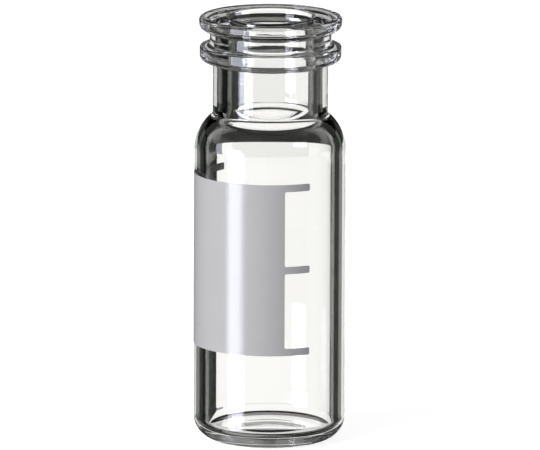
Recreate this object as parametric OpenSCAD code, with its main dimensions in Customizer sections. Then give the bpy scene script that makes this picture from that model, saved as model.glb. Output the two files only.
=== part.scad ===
// Snap-ring sample vial: a flat-bottomed glass vial formed from tubing, with a fired print on its side.
// Millimetres, +Z up. The origin is the centre of the foot, on the surface that the vial stands on.
// The -Y side is the front.

/* [Body] */
// Outer diameter of the body
body_d = 11.5; // [10.5:0.1:13]
// Height of the whole vial, foot to mouth
height = 32.5; // [31:0.1:45]
// Thickness of the tube wall
wall = 0.85; // [0.7:0.05:1.3]
// Outer radius of the heel, where the wall turns into the foot
heel_r = 1.7; // [1:0.05:2]
// Radius of the corner between the inner wall and the floor
floor_corner_r = 0.6; // [0.4:0.05:1.5]
// Thickness of the floor
floor_t = 1.0; // [0.7:0.05:1.6]
// Height of the hollow under the foot at its centre
push_up_h = 0.35; // [0.1:0.05:0.5]
// Diameter of the hollow under the foot
push_up_d = 5.5; // [3:0.1:7]

/* [Shoulder and neck] */
// Outer radius of the shoulder's curve
shoulder_r = 3.45; // [2:0.05:4]
// Inner radius of the shoulder's curve
inner_shoulder_r = 2.4; // [1.6:0.05:3]
// How far below the outer shoulder the inner one starts to curve
inner_shoulder_drop = 0.05; // [-0.3:0.05:0.5]
// Radius of the hollow corner where the shoulder meets the neck
neck_corner_r = 0.45; // [0.1:0.05:0.8]
// Radius of the round brow where the inner shoulder meets the bore
brow_r = 2.1; // [0.5:0.05:3]
// Outer diameter of the neck
neck_d = 8.75; // [8.2:0.05:9.2]
// Length of the plain neck between the shoulder and the snap ring
neck_h = 3.8; // [2.5:0.05:5]
// Diameter of the bore through the neck
bore_d = 6.55; // [5:0.05:6.8]

/* [Finish] */
// Diameter of the flange round the mouth
flange_d = 10.85; // [10.2:0.05:11.2]
// Thickness of the flange
flange_h = 1.05; // [1:0.05:1.6]
// Rounding of the flange's lower edge
flange_lower_r = 0.5; // [0.15:0.05:0.5]
// Rounding of the flange's upper edge
flange_upper_r = 0.3; // [0.15:0.05:0.5]
// Diameter of the snap ring under the flange
ring_d = 10.75; // [10.2:0.05:11.2]
// Thickness of the snap ring
ring_h = 1.2; // [1.05:0.05:1.6]
// Rounding of the snap ring's lower edge
ring_lower_r = 0.5; // [0.15:0.05:0.5]
// Rounding of the snap ring's upper edge
ring_upper_r = 0.15; // [0.15:0.05:0.5]
// Diameter at the bottom of the groove between the flange and the snap ring
groove_d = 9.25; // [8.2:0.05:9.4]
// Width of the groove
groove_h = 1.2; // [0.9:0.05:1.6]
// Radius of the hollow corners where the flange and the ring stand out
root_r = 0.25; // [0.1:0.05:0.4]
// Rounding of the edge of the mouth
mouth_r = 0.15; // [0.1:0.05:0.6]

/* [Print] */
// How far round the body the print's middle is from the front, in degrees, anticlockwise from above
print_turn = -52; // [-180:1:180]
// Width of the write-on panel, measured round the body
panel_w = 12.7; // [8:0.1:16]
// Height of the write-on panel
panel_h = 13.15; // [8:0.05:15]
// Height of the panel's lower edge above the foot
panel_z = 7.4; // [3:0.1:8]
// Length of a filling mark, measured round the body
mark_l = 2.0; // [1:0.1:3]
// Thickness of a filling mark's line
mark_t = 0.55; // [0.3:0.05:0.9]
// Number of filling marks at each side of the panel
mark_count = 3; // [2:1:5]
// Thickness of the fired print
ink_t = 0.04; // [0.03:0.01:0.1]

/* [Hidden] */
$fn = 96;
over = 0.5; // how far a cutting or joining shape runs past what it cuts or joins

body_r = body_d / 2;
inner_r = body_r - wall;
neck_r = neck_d / 2;
groove_r = groove_d / 2;
bore_r = bore_d / 2;

// How far above one arc's centre the centre of the next lies, when two arcs that turn opposite ways touch.
function rise(r1, r2, dx) = sqrt(pow(r1 + r2, 2) - pow(dx, 2));

// Levels, worked down from the mouth.
flange_z = height - flange_h;
ring_top_z = flange_z - groove_h;
ring_z = ring_top_z - ring_h;
neck_z = ring_z - neck_h;

// The outer shoulder: a bulging arc from the wall, then a hollow one up into the neck.
shoulder_x = body_r - shoulder_r;
outer_blend_x = neck_r + neck_corner_r;
shoulder_z = neck_z - rise(shoulder_r, neck_corner_r, outer_blend_x - shoulder_x);

// The inner shoulder ends in a round brow under the bore.
inner_shoulder_x = inner_r - inner_shoulder_r;
inner_shoulder_z = shoulder_z - inner_shoulder_drop;
brow_x = bore_r + brow_r;
brow_z = inner_shoulder_z + rise(inner_shoulder_r, brow_r, brow_x - inner_shoulder_x);

// The hollow is a shallow ball cap.
push_up_r = (pow(push_up_d / 2, 2) + pow(push_up_h, 2)) / (2 * push_up_h);

// A block of the section from the axis out to r, between two levels.
module core(r, z0, z1) {
    translate([0, z0]) square([r, z1 - z0]);
}

// A disc of the section at (x, z), without what would lie past the axis.
module disc(x, z, r) {
    intersection() {
        translate([x, z]) circle(r);
        translate([0, z - 2 * r]) square([x + 2 * r, 4 * r]);
    }
}

// A flange or ring of the section: a band with a lower edge of radius low and an upper edge of radius high.
module band(r, z0, z1, low, high) {
    core(r - low, z0, z0 + low);
    core(r, z0 + low, z1 - high);
    core(r - high, z1 - high, z1);
    translate([r - low, z0 + low]) circle(low);
    translate([r - high, z1 - high]) circle(high);
}

// The glass that fills the corner between a stem of radius r and a face at level z. side is 1 above it, -1 under it.
module root(r, z, side) {
    difference() {
        core(r + root_r, min(z, z + side * root_r), max(z, z + side * root_r));
        translate([r + root_r, z + side * root_r]) circle(root_r);
    }
}

// A shoulder of the section: arc r1 about (x1, z1) bulging out, then arc r2 about (x2, z2) curving in.
module shoulder(x1, z1, r1, x2, z2, r2) {
    intersection() {
        disc(x1, z1, r1);
        core(x1 + r1, z1, z2);
    }
    difference() {
        polygon([[0, z1], [x1, z1], [x2, z2], [0, z2]]);
        translate([x2, z2]) circle(r2);
    }
}

// The outer outline of the vial, solid right to the axis.
module outer_section() {
    difference() {
        union() {
            core(body_r - heel_r, 0, heel_r);
            translate([body_r - heel_r, heel_r]) circle(heel_r);
            core(body_r, heel_r, shoulder_z);
        }
        disc(0, push_up_h - push_up_r, push_up_r);
    }
    shoulder(shoulder_x, shoulder_z, shoulder_r, outer_blend_x, neck_z, neck_corner_r);
    core(neck_r, neck_z, ring_z + over);
    root(neck_r, ring_z, -1);
    band(ring_d / 2, ring_z, ring_top_z, ring_lower_r, ring_upper_r);
    root(groove_r, ring_top_z, 1);
    core(groove_r, ring_top_z - over, flange_z + over);
    root(groove_r, flange_z, -1);
    band(flange_d / 2, flange_z, height, flange_lower_r, flange_upper_r);
}

// The space inside: body, shoulder, bore and rounded mouth.
module inner_section() {
    core(inner_r - floor_corner_r, floor_t, floor_t + floor_corner_r);
    translate([inner_r - floor_corner_r, floor_t + floor_corner_r]) circle(floor_corner_r);
    core(inner_r, floor_t + floor_corner_r, inner_shoulder_z);
    shoulder(inner_shoulder_x, inner_shoulder_z, inner_shoulder_r, brow_x, brow_z, brow_r);
    core(bore_r, brow_z, height + over);
    difference() {
        core(bore_r + mouth_r, height - mouth_r, height + over);
        translate([bore_r + mouth_r, height - mouth_r]) circle(mouth_r);
    }
}

// The glass, blown and formed as one piece.
module glass_vial() {
    color([0.86, 0.90, 0.89, 0.45]) rotate_extrude() difference() {
        outer_section();
        inner_section();
    }
}

// A block that curves round the body from m0 to m1, measured round it from the front, between radii r0 and r1.
module wrap(m0, m1, r0, r1, z, h) {
    turn = 360 / (PI * body_d);
    rotate(-90 + m0 * turn)
        rotate_extrude(angle = (m1 - m0) * turn) translate([r0, z]) square([r1 - r0, h]);
}

// The print: a write-on panel with filling marks at both sides, which is a wider patch cut back between its marks.
module write_on_print() {
    edge = panel_w / 2;
    end = edge + mark_l;
    pitch = (panel_h - mark_t) / (mark_count - 1);
    color([0.72, 0.72, 0.75]) rotate(print_turn) difference() {
        wrap(-end, end, body_r, body_r + ink_t, panel_z, panel_h);
        for (side = [0, 1], i = [0 : mark_count - 2])
            mirror([side, 0, 0])
                wrap(edge, end + over, body_r - over, body_r + ink_t + over,
                    panel_z + i * pitch + mark_t, pitch - mark_t);
    }
}

glass_vial();
write_on_print();
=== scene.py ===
# %% [markdown]
# # A snap-ring sample vial
#
# The real object is a small lab bottle: a length of glass tube closed with a flat foot, drawn in to a neck,
# and pressed at the mouth into two rings that a cap snaps over. A write-on panel with filling marks is
# printed on its side.
#
# Clear glass has almost no colour of its own. What the eye reads as glass is the room around it, bent
# through the walls. So this lesson spends its effort on two things: an exact wall section, inside and out,
# and a small studio of bright and black cards for that section to bend.
#
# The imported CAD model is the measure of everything. It is loaded first, and its box is kept to compare
# with.

import math

import bpy
import numpy as np
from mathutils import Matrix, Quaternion, Vector


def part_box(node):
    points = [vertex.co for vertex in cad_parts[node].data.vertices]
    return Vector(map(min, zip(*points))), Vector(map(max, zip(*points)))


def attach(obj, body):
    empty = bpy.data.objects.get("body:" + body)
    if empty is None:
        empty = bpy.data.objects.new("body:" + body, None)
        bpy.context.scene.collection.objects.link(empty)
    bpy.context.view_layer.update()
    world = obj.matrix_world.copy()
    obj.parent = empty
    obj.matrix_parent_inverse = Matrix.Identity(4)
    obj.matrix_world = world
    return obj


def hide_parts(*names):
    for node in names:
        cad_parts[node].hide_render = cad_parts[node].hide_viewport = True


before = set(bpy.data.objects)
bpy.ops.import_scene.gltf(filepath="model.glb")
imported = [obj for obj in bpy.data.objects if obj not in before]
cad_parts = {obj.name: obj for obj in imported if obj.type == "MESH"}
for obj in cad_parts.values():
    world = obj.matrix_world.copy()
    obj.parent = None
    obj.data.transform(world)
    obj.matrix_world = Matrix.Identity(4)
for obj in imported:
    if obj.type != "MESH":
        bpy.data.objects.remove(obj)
scene = bpy.context.scene
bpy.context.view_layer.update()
MM = 0.001

# %% [markdown]
# ## The wall section
#
# Formed glass has soft corners, so nearly the whole section can be written as arcs that touch one another,
# and a straight wall is simply the gap between two arcs that end in the same direction. A ring of the same
# section turned round the axis is then the vial. A modifier such as Screw could turn it, but then the
# shading normals would be averages over faces of very different length, and refraction shows every such
# error as a streak. Here each arc also gives its exact normal, and both are carried round together.
#
# The section starts on the axis under the foot, runs out and up the outside, over the mouth, and down the
# inside to the middle of the floor. The glass is always on the left of that path, so the normal is the
# path's direction turned to the right.

# %% The sizes of the vial, in millimetres
HEIGHT, BODY_R, WALL = 32.5, 5.75, 0.85
HEEL_R, FLOOR_CORNER_R, FLOOR_T = 1.7, 0.6, 1.0
PUSH_UP_H, PUSH_UP_R, RIM = 0.35, 2.75, 0.02
SHOULDER_R, NECK_CORNER_R = 3.45, 0.45
INNER_SHOULDER_R, INNER_SHOULDER_DROP, BROW_R = 2.4, 0.05, 2.1
NECK_R, NECK_H, BORE_R = 4.375, 3.8, 3.275
FLANGE_R, FLANGE_H, RING_R, RING_H = 5.425, 1.05, 5.375, 1.2
GROOVE_R, GROOVE_H, ROOT_R, MOUTH_R = 4.625, 1.2, 0.25, 0.15
FLANGE_EDGES, RING_EDGES = (0.5, 0.3), (0.5, 0.15)

flange_z = HEIGHT - FLANGE_H
ring_top_z = flange_z - GROOVE_H
ring_z = ring_top_z - RING_H
neck_z = ring_z - NECK_H
print(f"levels: neck {neck_z:.2f}, ring {ring_z:.2f} to {ring_top_z:.2f}, flange {flange_z:.2f} mm")

# %% [markdown]
# ## The shoulder
#
# The soft tube is drawn in to the neck, so the shoulder bulges out of the wall and then turns hollow into
# the neck. Inside it ends in a large round brow under the bore. A spline could follow this, but two arcs
# that touch are exact and need only their radii: the line through their centres also passes through the
# point where they touch, and its slope is the angle through which each of them turns.


# %% The centres of the shoulder's four arcs
def rise(r1, r2, dx):
    """How far one arc's centre lies above another's, when two arcs that turn opposite ways touch: the upright
    side of a right triangle whose long side is the sum of the radii."""
    return math.sqrt((r1 + r2) ** 2 - dx**2)


shoulder_x, blend_x = BODY_R - SHOULDER_R, NECK_R + NECK_CORNER_R
shoulder_z = neck_z - rise(SHOULDER_R, NECK_CORNER_R, blend_x - shoulder_x)
inner_x, inner_z = BODY_R - WALL - INNER_SHOULDER_R, shoulder_z - INNER_SHOULDER_DROP
brow_x = BORE_R + BROW_R
brow_z = inner_z + rise(INNER_SHOULDER_R, BROW_R, brow_x - inner_x)
outer_turn = math.degrees(math.atan2(neck_z - shoulder_z, blend_x - shoulder_x))
inner_turn = math.degrees(math.atan2(brow_z - inner_z, brow_x - inner_x))
print(f"the shoulder starts at {shoulder_z:.2f} mm and turns {outer_turn:.0f} degrees outside, "
      f"{inner_turn:.0f} inside")

# %% [markdown]
# ## Arcs with their normals
#
# Three helpers write the whole section. An arc gives points and the normals at them. The hollow that the
# foot is pushed up into is a shallow cap of a large ball. Each ring of the finish is pressed by a roller,
# which leaves a hollow corner under it and two rounded edges, so it is three arcs.
#
# The rim of the hollow is the one crisp line on the vial. One flat point set just outside it, with a normal
# that points straight down, keeps the hollow's slope from spreading over the flat ring on which the vial
# stands.


# %% Helpers for the section
def arc(x, z, r, start, stop, steps):
    """Points on the circle of radius r about (x, z), from angle start to stop in degrees, with their normals.
    Point = centre + r * (cos a, sin a). The normal is the same unit vector, or its opposite where the path
    turns clockwise, because the glass is then outside the circle. Rows are (x, z, normal x, normal z)."""
    a = np.radians(np.linspace(start, stop, steps))
    way = np.stack([np.cos(a), np.sin(a)], 1)
    return np.hstack([(x, z) + r * way, math.copysign(1, stop - start) * way])


def cap(width_r, height, steps):
    """The hollow under the foot, a shallow ball cap of this half width and height. Its ball has the radius
    (w^2 + h^2) / 2h."""
    r = (width_r**2 + height**2) / (2 * height)
    return arc(0, height - r, r, 90, math.degrees(math.acos(width_r / r)), steps)


def band(r, root_r, z0, z1, edges):
    """A ring that stands out from a stem of radius root_r: hollow corner, lower edge, upper edge."""
    low, high = edges
    return [
        arc(root_r + ROOT_R, z0 - ROOT_R, ROOT_R, 180, 90, 8),
        arc(r - low, z0 + low, low, -90, 0, 12),
        arc(r - high, z1 - high, high, 0, 90, 10),
    ]


print("a quarter turn in three rows:", arc(0, 0, 1, 0, 90, 3).round(2).tolist())

# %% The whole section
floor_x = BODY_R - WALL - FLOOR_CORNER_R
section = np.vstack([
    cap(PUSH_UP_R, PUSH_UP_H, 12),  # the hollow under the foot
    [(PUSH_UP_R + RIM, 0, 0, -1)],  # its rim
    arc(BODY_R - HEEL_R, HEEL_R, HEEL_R, -90, 0, 22),  # heel
    arc(shoulder_x, shoulder_z, SHOULDER_R, 0, outer_turn, 28),  # shoulder, first bulging
    arc(blend_x, neck_z, NECK_CORNER_R, 180 + outer_turn, 180, 9),  # and then hollow
    *band(RING_R, NECK_R, ring_z, ring_top_z, RING_EDGES),  # snap ring
    arc(GROOVE_R + ROOT_R, ring_top_z + ROOT_R, ROOT_R, 270, 180, 8),  # foot of the groove
    *band(FLANGE_R, GROOVE_R, flange_z, HEIGHT, FLANGE_EDGES),  # flange
    arc(BORE_R + MOUTH_R, HEIGHT - MOUTH_R, MOUTH_R, 90, 180, 12),  # edge of the mouth
    arc(brow_x, brow_z, BROW_R, 180, 180 + inner_turn, 18),  # brow under the bore
    arc(inner_x, inner_z, INNER_SHOULDER_R, inner_turn, 0, 24),  # shoulder, inside
    arc(floor_x, FLOOR_T + FLOOR_CORNER_R, FLOOR_CORNER_R, 0, -90, 18),  # corner of the floor
    [(0, FLOOR_T, 0, 1)],  # middle of the floor
])
cad_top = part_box("glass_vial")[1] / MM
reach = section.max(0)
print(f"{len(section)} section points, out to {reach[0]:.3f} mm and up to {reach[1]:.3f}, "
      f"where the CAD reaches {cad_top.x:.3f} and {cad_top.z:.3f}")

# %% [markdown]
# ## The skin of the finish
#
# Formed glass isn't a perfect turning. The two rings were shaped by rollers while the vial spun, which
# leaves a shallow wave round them. It is a few thousandths of a millimetre, too little to see as shape, yet
# it is what breaks the reflections in the finish into the lively, uneven pattern of the real thing.
#
# A Noise texture could displace the mesh, but its slopes would have to be guessed from the faces. A sum of
# waves has a slope that can be written down, so the normals stay exact.

# %% The ripple of the finish
WAVES, WAVE_HEIGHT, SEED = 30, 0.0012, 5
MOST_ROUND, SPREAD_ALONG = 18, 5
WAVY_FROM, WAVY_BY = 28.0, 30.0


def ripple(s, t, z):
    """How far the rolled skin stands out, and its slopes along the section and round it. A sum of waves
    a cos(m t + k s + p): m whole waves round the ring, k along the section, p a random start. The finer a
    wave, the lower it is. All fade in over the top of the neck, so that only the finish has them in full."""
    rng = np.random.default_rng(SEED)
    fade = 0.5 - 0.5 * np.cos(np.pi * np.clip((z - WAVY_FROM) / (WAVY_BY - WAVY_FROM), 0, 1))
    out, along, around = (np.zeros(np.broadcast(s, t).shape) for _ in range(3))
    for _ in range(WAVES):
        m, k, p = rng.integers(1, MOST_ROUND), rng.normal(0, SPREAD_ALONG), rng.uniform(0, 2 * np.pi)
        a = WAVE_HEIGHT * fade / (1 + 0.25 * math.hypot(m / 5, k))
        wave = m * t + k * s + p
        out = out + a * np.cos(wave)
        along = along - a * k * np.sin(wave)
        around = around - a * m * np.sin(wave)
    return out, along, around


crest = ripple(np.zeros((1, 1)), np.linspace(0, 2 * np.pi, 360), np.full((1, 1), HEIGHT))[0]
print(f"one turn of the ripple at full height runs from {crest.min():.4f} to {crest.max():.4f} mm")

# %% [markdown]
# ## Turning the section
#
# The vial is one closed surface: the point at distance s along the section and angle t round the axis is
# (x(s) cos t, x(s) sin t, z(s)). Two parameters, one grid of faces. At the two ends of the section the ring
# shrinks to a point on the axis, so there a fan of triangles about one shared point closes the pole.
#
# The facets round the axis have to be very fine, because glass shows the outline of each one. This many
# keeps the mesh just under 200 000 triangles.

# %% Turn the section into the glass
SEGMENTS = 456


def revolve(name, rows, segments):
    """Turns section rows (x, z, normal x, normal z) round the axis. Position = (x cos t, x sin t, z), pushed
    along the normal n by the ripple. The new normal is n - (slope along) u - (slope round / x) v, where u
    runs along the section and v round the ring."""
    t = np.linspace(0, 2 * np.pi, segments, endpoint=False)
    x, z, nx, nz = rows[1:-1].T[:, :, None]
    s = np.concatenate([[0], np.cumsum(np.hypot(np.diff(x[:, 0]), np.diff(z[:, 0])))])[:, None]
    out, along, around = ripple(s, t, z)
    x1, z1 = x + nx * out, z + nz * out
    nx1, nz1, nt1 = nx + nz * along, nz - nx * along, -around / x
    size = np.sqrt(nx1**2 + nz1**2 + nt1**2)
    grid = np.stack([x1 * np.cos(t), x1 * np.sin(t), z1], -1).reshape(-1, 3)
    facing = np.stack([nx1 * np.cos(t) - nt1 * np.sin(t), nx1 * np.sin(t) + nt1 * np.cos(t), nz1], -1)
    facing = (facing / size[..., None]).reshape(-1, 3)
    verts = np.vstack([grid, [(0, 0, rows[0, 1]), (0, 0, rows[-1, 1])]]) * MM
    normals = np.vstack([facing, [(0, 0, -1), (0, 0, 1)]])

    ring, here = np.arange(len(rows) - 3)[:, None] * segments, np.arange(segments)
    after = np.roll(here, -1)
    quads = np.stack([ring + here, ring + after, ring + segments + after, ring + segments + here], -1)
    last = len(grid) - segments
    foot = np.stack([after, here, np.full(segments, len(grid))], -1)
    floor = np.stack([last + here, last + after, np.full(segments, len(grid) + 1)], -1)

    mesh = bpy.data.meshes.new(name)
    faces = quads.reshape(-1, 4).tolist() + foot.tolist() + floor.tolist()
    mesh.from_pydata(verts.tolist(), [], faces)
    mesh.polygons.foreach_set("use_smooth", np.ones(len(faces), bool))
    mesh.normals_split_custom_set_from_vertices(normals.tolist())
    piece = bpy.data.objects.new(name, mesh)
    scene.collection.objects.link(piece)
    return piece


glass = revolve("vial_glass", section, SEGMENTS)
print("glass faces:", len(glass.data.polygons))

# %% [markdown]
# ## The printed panel
#
# The write-on panel is ceramic ink, screened on to the tube and fired. It is a very thin solid, so it has a
# real edge that catches light. Unrolled, its outline is a broad rectangle with three filling marks at each
# side, whose ends and inner corners are a little rounded, as ink flows.
#
# It could be cut from the tube with a Boolean, but that leaves slivers. Instead six level lines run right
# round from mark end to mark end: the lower and upper edge of each mark. Between the two lines of a mark
# there is always ink; between two marks there is ink only inside the panel. So the print is a grid whose
# columns are stations round the body, set close together where a corner is rounded.

# %% The stations round the print
PRINT_TURN, PANEL_W, PANEL_H, PANEL_Z = -52, 12.7, 13.15, 7.4
MARK_L, MARK_T, MARK_COUNT, INK_ROUND = 2.0, 0.55, 3, 0.12
PANEL_STEPS, MARK_STEPS, CORNER_STEPS, CORNER_START = 54, 14, 7, 0.004

edge, end = PANEL_W / 2, PANEL_W / 2 + MARK_L
near = np.geomspace(CORNER_START, INK_ROUND, CORNER_STEPS)
half = np.concatenate([
    np.linspace(0, edge, PANEL_STEPS),
    edge + near,
    np.linspace(edge + 2 * INK_ROUND, end - INK_ROUND, MARK_STEPS),
    end - near[::-1][1:],
    [end],
])
half = np.unique(np.round(half, 5))
across = np.concatenate([-half[:0:-1], half])
print("stations round the print:", len(across))


# %% The six level lines
def round_off(d, r):
    """How far a corner of radius r cuts back from a side, at distance d past the corner's start:
    r - sqrt(r^2 - (r - d)^2), and nothing further in than r."""
    d = np.clip(d, 0, r)
    return r - np.sqrt(np.maximum(r**2 - (r - d) ** 2, 0))


pitch = (PANEL_H - MARK_T) / (MARK_COUNT - 1)
tip = round_off(end - np.abs(across), INK_ROUND)
web = round_off(np.abs(across) - edge, INK_ROUND)
web[np.abs(across) < edge] = 0
levels = []
for i in range(MARK_COUNT):
    low = PANEL_Z + i * pitch
    levels.append(low + tip - (web if i > 0 else 0))
    levels.append(low + MARK_T - tip + (web if i < MARK_COUNT - 1 else 0))
levels = np.array(levels)
inked = np.ones((len(levels) - 1, len(across) - 1), bool)
inked[1::2, np.abs(across[1:] + across[:-1]) / 2 > edge] = False
print(f"the print runs from {levels.min():.2f} to {levels.max():.2f} mm, with ink in {inked.sum()} cells")

# %% [markdown]
# ## Wrapping the print
#
# The same grid is laid on two radii, which gives the front and the back, and every grid edge that has ink
# at one side only gets a rim. The back lies a few thousandths of a millimetre inside the glass: fired ink
# has melted on, and a gap of air behind it would show as a mirror.

# %% Wrap the print on the body
INK_T, BITE = 0.04, 0.005
CRISP_EDGE = math.radians(40)


def sheet_on_body(name, across, levels, inked, r_in, r_out):
    """A thin solid wrapped on the body. The point at arc length s and level z lies at angle a = s / R from
    the middle: (r sin a, -r cos a, z). Both radii carry the same grid, and rims join them round the ink."""
    a = across / BODY_R + math.radians(PRINT_TURN)
    rows, cols = levels.shape
    turn = np.ones_like(levels) * a
    shells = [np.stack([r * np.sin(turn), -r * np.cos(turn), levels], -1) for r in (r_out, r_in)]
    verts = np.concatenate([s.reshape(-1, 3) for s in shells]) * MM
    index, back = np.arange(rows * cols).reshape(rows, cols), rows * cols
    corners = [index[:-1, :-1], index[:-1, 1:], index[1:, 1:], index[1:, :-1]]
    front = np.stack([c[inked] for c in corners], -1)
    padded = np.pad(inked, 1)
    rims = []
    for k, (dr, dc) in enumerate([(-1, 0), (0, 1), (1, 0), (0, -1)]):
        beside = padded[1 + dr : rows + dr, 1 + dc : cols + dc]
        bare = inked & ~beside
        p, q = corners[k][bare], corners[(k + 1) % 4][bare]
        rims.append(np.stack([q, p, p + back, q + back], -1))
    rims = np.concatenate(rims)
    faces = np.concatenate([front, front[:, ::-1] + back, rims])
    used, faces = np.unique(faces, return_inverse=True)
    faces = faces.reshape(-1, 4)
    mesh = bpy.data.meshes.new(name)
    mesh.from_pydata(verts[used].tolist(), [], faces.tolist())
    mesh.shade_smooth()
    mesh.set_sharp_from_angle(angle=CRISP_EDGE)
    piece = bpy.data.objects.new(name, mesh)
    scene.collection.objects.link(piece)
    return piece


panel = sheet_on_body("write_on_panel", across, levels, inked, BODY_R - BITE, BODY_R + INK_T)
print("print faces:", len(panel.data.polygons))

# %% [markdown]
# ## Shader maths as Python
#
# A material is a graph of nodes. Written out link by link it hides its own idea, so one small class wraps a
# socket: an expression such as noise * 0.3 + 0.5 then adds the Math nodes that it needs. Every other node
# comes from a single method, which takes its type, its settings and its inputs.


# %% A socket that does arithmetic
class Graph:
    """The nodes of one material or world."""

    def __init__(self, owner):
        owner.use_nodes = True
        self.tree = owner.node_tree
        self.tree.nodes.clear()

    def node(self, kind, inputs=None, out=0, **settings):
        """Adds a node, first its settings, then its inputs by name or number, and returns an output."""
        made = self.tree.nodes.new(kind)
        for key, value in settings.items():
            setattr(made, key, value)
        for key, value in (inputs or {}).items():
            if isinstance(value, Wire):
                self.tree.links.new(value.socket, made.inputs[key])
            else:
                made.inputs[key].default_value = value
        return Wire(self, made.outputs[out]) if made.outputs else made


class Wire:
    """An output socket. + and * on it add Math nodes, on either side of a number."""

    def __init__(self, graph, socket):
        self.graph, self.socket = graph, socket

    def _math(self, operation, a, b):
        return self.graph.node("ShaderNodeMath", {0: a, 1: b}, operation=operation)

    def __add__(self, other):
        return self._math("ADD", self, other)

    def __mul__(self, other):
        return self._math("MULTIPLY", self, other)

    __radd__, __rmul__ = __add__, __mul__


print("a wire takes + and *, with a number or another wire on either side")

# %% [markdown]
# ## Clear glass
#
# Lab glass has an index of refraction of about 1.5 and a fire-polished skin, so its roughness is zero. A
# Glass shader would bend light in the same way, but the Principled one is read by other programs too.
#
# What variation the glass has lies in its skin. Drawing the tube leaves very faint lines along it: noise
# that is stretched twenty times along the axis. The rollers leave fine ridges round the finish: noise that
# is squeezed ten times along the axis, and faded in by height. Both are a Bump, far too small to see as
# relief.

# %% Glass material
LINES_SCALE, RIDGES_SCALE = (900, 900, 45), (300, 300, 3000)
RIDGES_FROM, RIDGES_BY, RIDGES_GAIN = 27.0 * MM, 28.5 * MM, 120

clear = bpy.data.materials.new("clear_borosilicate")
g = Graph(clear)
place = g.node("ShaderNodeTexCoord", out="Object")
drawn = g.node("ShaderNodeMapping", {"Vector": place, "Scale": LINES_SCALE})
lines = g.node("ShaderNodeTexNoise", {"Vector": drawn, "Scale": 1.0, "Detail": 2.0})
level = g.node("ShaderNodeSeparateXYZ", {"Vector": place}, out=2)
worked = g.node("ShaderNodeMapRange", {"Value": level, "From Min": RIDGES_FROM, "From Max": RIDGES_BY})
rolled = g.node("ShaderNodeMapping", {"Vector": place, "Scale": RIDGES_SCALE})
ridges = g.node("ShaderNodeTexNoise", {"Vector": rolled, "Scale": 1.0, "Detail": 3.0})
relief = lines + ridges * worked * RIDGES_GAIN
bsdf = g.node("ShaderNodeBsdfPrincipled", {
    "Base Color": (0.985, 0.99, 0.985, 1), "Roughness": 0.0, "IOR": 1.51, "Transmission Weight": 1.0,
    "Normal": g.node("ShaderNodeBump", {"Strength": 0.005, "Distance": 0.01 * MM, "Height": relief}),
})
g.node("ShaderNodeOutputMaterial", {"Surface": bsdf})
glass.data.materials.append(clear)
print(f"{clear.name}: {len(g.tree.nodes)} nodes")

# %% [markdown]
# ## Fired ink
#
# The ink is a grey ceramic enamel, a little lavender, with the satin gloss of paint that has melted. One
# even grey would look like plastic. Close up, real enamel is slightly cloudy, and its skin has a fine grain
# from the screen it was pushed through. The same grain drives the colour, the gloss and the relief, and it
# is what frays the edges of a highlight.

# %% Ink material
GRAIN_SCALE, CLOUD_SCALE = 9000.0, 350.0
INK_DARK, INK_LIGHT = (0.47, 0.467, 0.484, 1), (0.51, 0.507, 0.526, 1)

ink = bpy.data.materials.new("fired_ink")
g = Graph(ink)
place = g.node("ShaderNodeTexCoord", out="Object")
grain = g.node("ShaderNodeTexNoise", {"Vector": place, "Scale": GRAIN_SCALE, "Detail": 3.0})
cloud = g.node("ShaderNodeTexNoise", {"Vector": place, "Scale": CLOUD_SCALE, "Detail": 2.0})
colour = g.node("ShaderNodeMix", {"Factor": cloud * 0.5 + grain * 0.5, "A": INK_DARK, "B": INK_LIGHT},
                out="Result", data_type="RGBA")
bsdf = g.node("ShaderNodeBsdfPrincipled", {
    "Base Color": colour, "IOR": 1.6, "Roughness": grain * 0.08 + 0.11,
    "Normal": g.node("ShaderNodeBump", {"Strength": 0.7, "Distance": 0.01 * MM, "Height": grain}),
})
g.node("ShaderNodeOutputMaterial", {"Surface": bsdf})
panel.data.materials.append(ink)
print(f"{ink.name}: {len(g.tree.nodes)} nodes")

# %% [markdown]
# ## The camera
#
# A product lens stands far away, so that the mouth and the foot are seen at almost the same angle. Here it
# is a metre off, eleven degrees above the bench, and looks at the middle of the vial. It is rolled by a
# fifth of a degree, as on a tripod set by hand.

# %% Camera
LOOK_DOWN, ROLL, DISTANCE, VIEW_WIDTH, AIM_Z = 11.08, 0.225, 1.0, 0.04094, 0.01638
FILM_WIDTH, FAR = 36, 10

lens = bpy.data.cameras.new("camera")
lens.sensor_width = FILM_WIDTH
lens.lens = FILM_WIDTH * DISTANCE / VIEW_WIDTH
lens.clip_end = FAR
camera = bpy.data.objects.new("camera", lens)
scene.collection.objects.link(camera)
scene.camera = camera
down = math.radians(LOOK_DOWN)
camera.location = (0, -DISTANCE * math.cos(down), AIM_Z + DISTANCE * math.sin(down))
camera.rotation_mode = "QUATERNION"
level_look = Quaternion((1, 0, 0), math.pi / 2 - down)
camera.rotation_quaternion = level_look @ Quaternion((0, 0, 1), math.radians(ROLL))
print(f"lens {lens.lens:.0f} mm")

# %% [markdown]
# ## The studio
#
# Glass is lit by what stands behind it. A classic set-up, called bright field, puts a window of light
# straight behind the glass and dark walls beside it: the middle of the vial turns bright, and its edges,
# which bend the view sideways on to the walls, turn dark and draw the outline. Strip lights at the sides
# then lay long reflections down the wall.
#
# Area lights could make the bright cards, but not the black ones. So each card is a mesh: a patch of one
# large ball round the vial, given by its bearing and height as seen from the camera. Bearing 0 is straight
# behind the vial. The cards hang on the camera, so the glass is lit as well in every view. Only reflected
# and refracted rays see them; the grey of the ink and the bench are lit by a lamp.

# %% A glowing mesh that hangs on the camera
REACH, FACET = 0.9, 3


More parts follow.
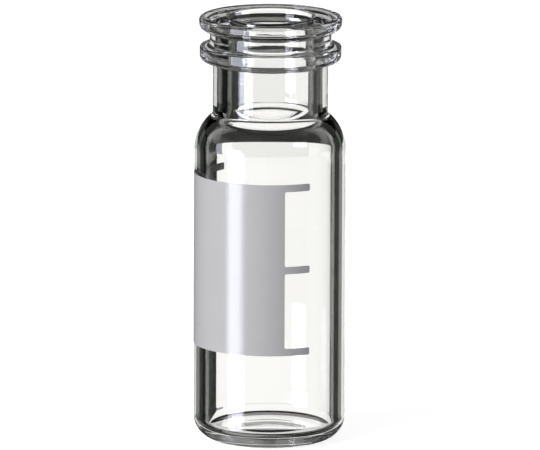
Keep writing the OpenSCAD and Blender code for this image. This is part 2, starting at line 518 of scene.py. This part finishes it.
def hang(name, verts, faces, strength, colour):
    """Hangs a glowing mesh on the camera. It is given in the camera's axes, with a strength at each point."""
    mesh = bpy.data.meshes.new(name)
    mesh.from_pydata(verts.tolist(), [], faces.tolist())
    mesh.attributes.new("glow", "FLOAT", "POINT").data.foreach_set("value", strength.astype(np.float32))
    piece = bpy.data.objects.new(name, mesh)
    scene.collection.objects.link(piece)
    piece.parent = camera
    piece.visible_camera = piece.visible_diffuse = piece.visible_shadow = False
    paint = bpy.data.materials.new(name)
    g = Graph(paint)
    glow = g.node("ShaderNodeEmission", {
        "Color": (*colour, 1), "Strength": g.node("ShaderNodeAttribute", out="Fac", attribute_name="glow")})
    g.node("ShaderNodeOutputMaterial", {"Surface": glow})
    mesh.materials.append(paint)
    return piece


def card(name, bearing, height, glow, colour):
    """A patch of the ball of radius REACH round the vial, from two bearings and two heights in degrees, in
    the camera's own axes, with a point about every FACET degrees. Direction = (cos h sin b, sin h,
    -cos h cos b). Its glow is one strength, or two that it fades between from the first bearing to the
    second."""
    b, h = (np.radians(np.linspace(start, stop, 2 + int(abs(stop - start) / FACET)))
            for start, stop in (bearing, height))
    h = h[:, None]
    way = np.stack([np.cos(h) * np.sin(b), np.sin(h) * np.ones_like(b), -np.cos(h) * np.cos(b)], -1)
    verts = way.reshape(-1, 3) * REACH + (0, 0, -DISTANCE)
    index = np.arange(len(verts)).reshape(way.shape[:2])
    faces = np.stack([index[:-1, :-1], index[:-1, 1:], index[1:, 1:], index[1:, :-1]], -1).reshape(-1, 4)
    strength = np.linspace(*np.broadcast_to(glow, 2), len(b)) * np.ones_like(h)
    return hang(name, verts, faces, strength.ravel(), colour)


print(f"the cards stand {REACH} m from the vial")

# %% [markdown]
# ## The cards
#
# Each row gives a card's name, its bearings and heights in degrees, its strength and its colour. The window
# is one low card and four upper panes. Their strengths and tints differ, as in a window that looks on to
# more than sky, and the neck shows these differences as upright stripes. The walls beside the window aren't
# one even black either: a door or a jamb draws a faint upright line into the dark edge of the body. Flags
# are black cards. Without them the rays that they stop would go on to the white world.

# %% The window, the walls and the flags
PAPER, LAVENDER, OLIVE = (1, 0.985, 0.965), (0.85, 0.87, 1.0), (0.9, 1.0, 0.88)
SILL, SASH, LINTEL = -14, 0.9, 6.5
WALLS = (-40, 20)
UPPER = (SASH, LINTEL)

cards = [
    ("window_low", (-11.5, 20), (SILL, SASH), (1.16, 1.06), PAPER),
    ("pane_blue", (-12, -8.3), UPPER, 0.45, LAVENDER),
    ("pane_left", (-8.3, -5), UPPER, 1.14, PAPER),
    ("pane_grey", (-5, 5.2), UPPER, 0.98, PAPER),
    ("pane_right", (5.2, 20), UPPER, (1.14, 0.85), PAPER),
    ("strip_left", (-135, -111), (-30, 8), 9, LAVENDER),
    ("strip_right", (68, 112), (-20, 20), 0.6, PAPER),
    ("room_left", (-180, -135), WALLS, 0.25, PAPER),
    ("room_right", (112, 180), WALLS, 0.25, PAPER),
    ("table_left", (-112, -12), (-90, -40), 0.3, PAPER),
    ("table_front", (-12, 23), (-90, -40), 0.1, PAPER),
    ("wall_far_left", (-111, -42), WALLS, 0.005, OLIVE),
    ("wall_left", (-42, -31), WALLS, 0.03, OLIVE),
    ("door_left", (-31, -22), WALLS, 0.11, OLIVE),
    ("jamb_left", (-22, -11.5), WALLS, 0.03, OLIVE),
    ("jamb_right", (20, 24), WALLS, 0.05, OLIVE),
    ("door_right", (24, 32), WALLS, 0.14, OLIVE),
    ("wall_right", (32, 50), WALLS, 0.03, OLIVE),
    ("wall_far_right", (50, 68), WALLS, 0.015, OLIVE),
    ("flag_over", (-45, 45), (20, 90), 0, PAPER),
    ("ceiling", (45, 315), (20, 90), 0.25, PAPER),
    ("flag_over_window", (-12, 20), (LINTEL, 20), 0.012, OLIVE),
    ("flag_under_window", (-12, 20), (-40, SILL), 0, PAPER),
    ("flag_under", (23, 248), (-90, -40), 0, PAPER),
    ("flag_over_strip", (-135, -111), (8, 20), 0, PAPER),
    ("flag_under_strip", (-135, -111), (-40, -30), 0, PAPER),
    ("flag_under_strip_right", (68, 112), (-40, -20), 0, PAPER),
]
for row in cards:
    card(*row)
print("cards:", len(cards))

# %% [markdown]
# ## Two slips of paper
#
# Two slips of white paper stand close behind the vial. The floor of the vial is a mirror at this flat
# angle, and would show the black above the window: the first slip, 36 mm behind the foot, is all that it
# sees instead. The second lies level behind the body, a little under its shoulder, where only rays that
# leave the lower neck steeply can meet it. They could be rows among the cards, but those stand far off and
# light the whole vial alike, while a near slip lights only the part beside it. So a slip is given by its
# four corners, in the vial's own axes.

# %% Slips behind the vial
SLIP_GLOW = 1.1


def slip(name, corners):
    """A small paper patch from four corners in millimetres, in the vial's axes. It hangs on the camera too,
    so its corners are moved and turned into the camera's axes: (corner - camera) times the camera's turn."""
    verts = np.array(corners, float) * MM - np.array(camera.location)
    turn = np.array(camera.rotation_quaternion.to_matrix())
    return hang(name, verts @ turn, np.array([[0, 1, 2, 3]]), np.full(4, SLIP_GLOW), PAPER)


slips = [
    slip("slip_upright", [(-9, 36, 0), (11, 36, 0), (11, 36, 9.2), (-9, 36, 9.2)]),
    slip("slip_level", [(-4.5, 5.8, 20), (4.5, 5.8, 20), (4.5, 9.2, 20), (-4.5, 9.2, 20)]),
]
print("slips:", [piece.name for piece in slips])

# %% [markdown]
# ## The world
#
# The background has to be white without throwing more light on the vial. A Light Path node tells which kind
# of ray is asking: the camera and the rays that the glass mirrors or bends get white, and all others get a
# quarter of it, as an even fill.

# %% World
FILL = 0.25

world = bpy.data.worlds.new("studio")
scene.world = world
g = Graph(world)
seen = g.node("ShaderNodeLightPath", out="Is Camera Ray")
mirrored = g.node("ShaderNodeLightPath", out="Is Glossy Ray")
through = g.node("ShaderNodeLightPath", out="Is Transmission Ray")
sky = g.node("ShaderNodeBackground", {
    "Color": (1, 1, 1, 1), "Strength": (seen + mirrored + through) * (1 - FILL) + FILL})
g.node("ShaderNodeOutputWorld", {"Surface": sky})
print(f"{world.name}: {len(g.tree.nodes)} nodes")

# %% [markdown]
# ## The lamp
#
# One soft box lights the print and the bench. It stands to the left, a little above the camera and nearer
# to the vial, and hangs on the camera as the cards do. It is shut off from glossy and clear rays, because
# the glass would show it as a hard spot.

# %% Lamp
KEY_SIZE, KEY_POWER, KEY_AT = 0.5, 9, (-0.63, 0.3, -0.4)

key = bpy.data.lights.new("key", "AREA")
key.size, key.energy = KEY_SIZE, KEY_POWER
lamp = bpy.data.objects.new("key", key)
scene.collection.objects.link(lamp)
lamp.parent = camera
lamp.location = KEY_AT
lamp.rotation_mode = "QUATERNION"
away = lamp.location - Vector((0, 0, -DISTANCE))
lamp.rotation_quaternion = away.to_track_quat("Z", "Y")
lamp.visible_glossy = lamp.visible_transmission = False
print(f"the lamp stands {away.length:.2f} m from the vial")

# %% [markdown]
# ## The bench
#
# The vial stands on a sheet of pale card. Its diffuse grey takes the vial's shadow, and a glow that only
# the camera sees lifts it almost to white, so it throws no more light on the vial. The glass sees the cards
# where the bench would be.

# %% Bench
BENCH_HALF, BENCH_GREY, BENCH_GLOW = 0.6, 0.6, 0.85

mesh = bpy.data.meshes.new("bench")
mesh.from_pydata([(x * BENCH_HALF, y * BENCH_HALF, 0) for x, y in ((-1, -1), (1, -1), (1, 1), (-1, 1))], [],
                 [(0, 1, 2, 3)])
bench = bpy.data.objects.new("bench", mesh)
scene.collection.objects.link(bench)
bench.visible_glossy = bench.visible_transmission = False
paint = bpy.data.materials.new("bench")
g = Graph(paint)
seen = g.node("ShaderNodeLightPath", out="Is Camera Ray")
lit = g.node("ShaderNodeBsdfDiffuse", {"Color": (BENCH_GREY, BENCH_GREY, BENCH_GREY, 1)})
glow = g.node("ShaderNodeEmission", {"Strength": seen * BENCH_GLOW})
g.node("ShaderNodeOutputMaterial", {"Surface": g.node("ShaderNodeAddShader", {0: lit, 1: glow})})
mesh.materials.append(paint)
print(f"the bench is {2 * BENCH_HALF} m wide")

# %% [markdown]
# ## Handing over
#
# Both pieces ride on the one body and take the place of their CAD solids, which are hidden. A ray that
# enters the rings can be turned back many times between their walls before it comes out, so it is allowed
# 24 bounces. A ray that is stopped while still inside the glass counts as black.

# %% Hand over
BOUNCES = 24

for piece, node, slot in [(glass, "glass_vial", "glass"), (panel, "write_on_print", "fired_print")]:
    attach(piece, "root")
    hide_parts(node)

scene.view_settings.view_transform = "Standard"
scene.cycles.max_bounces = scene.cycles.transmission_bounces = scene.cycles.glossy_bounces = BOUNCES
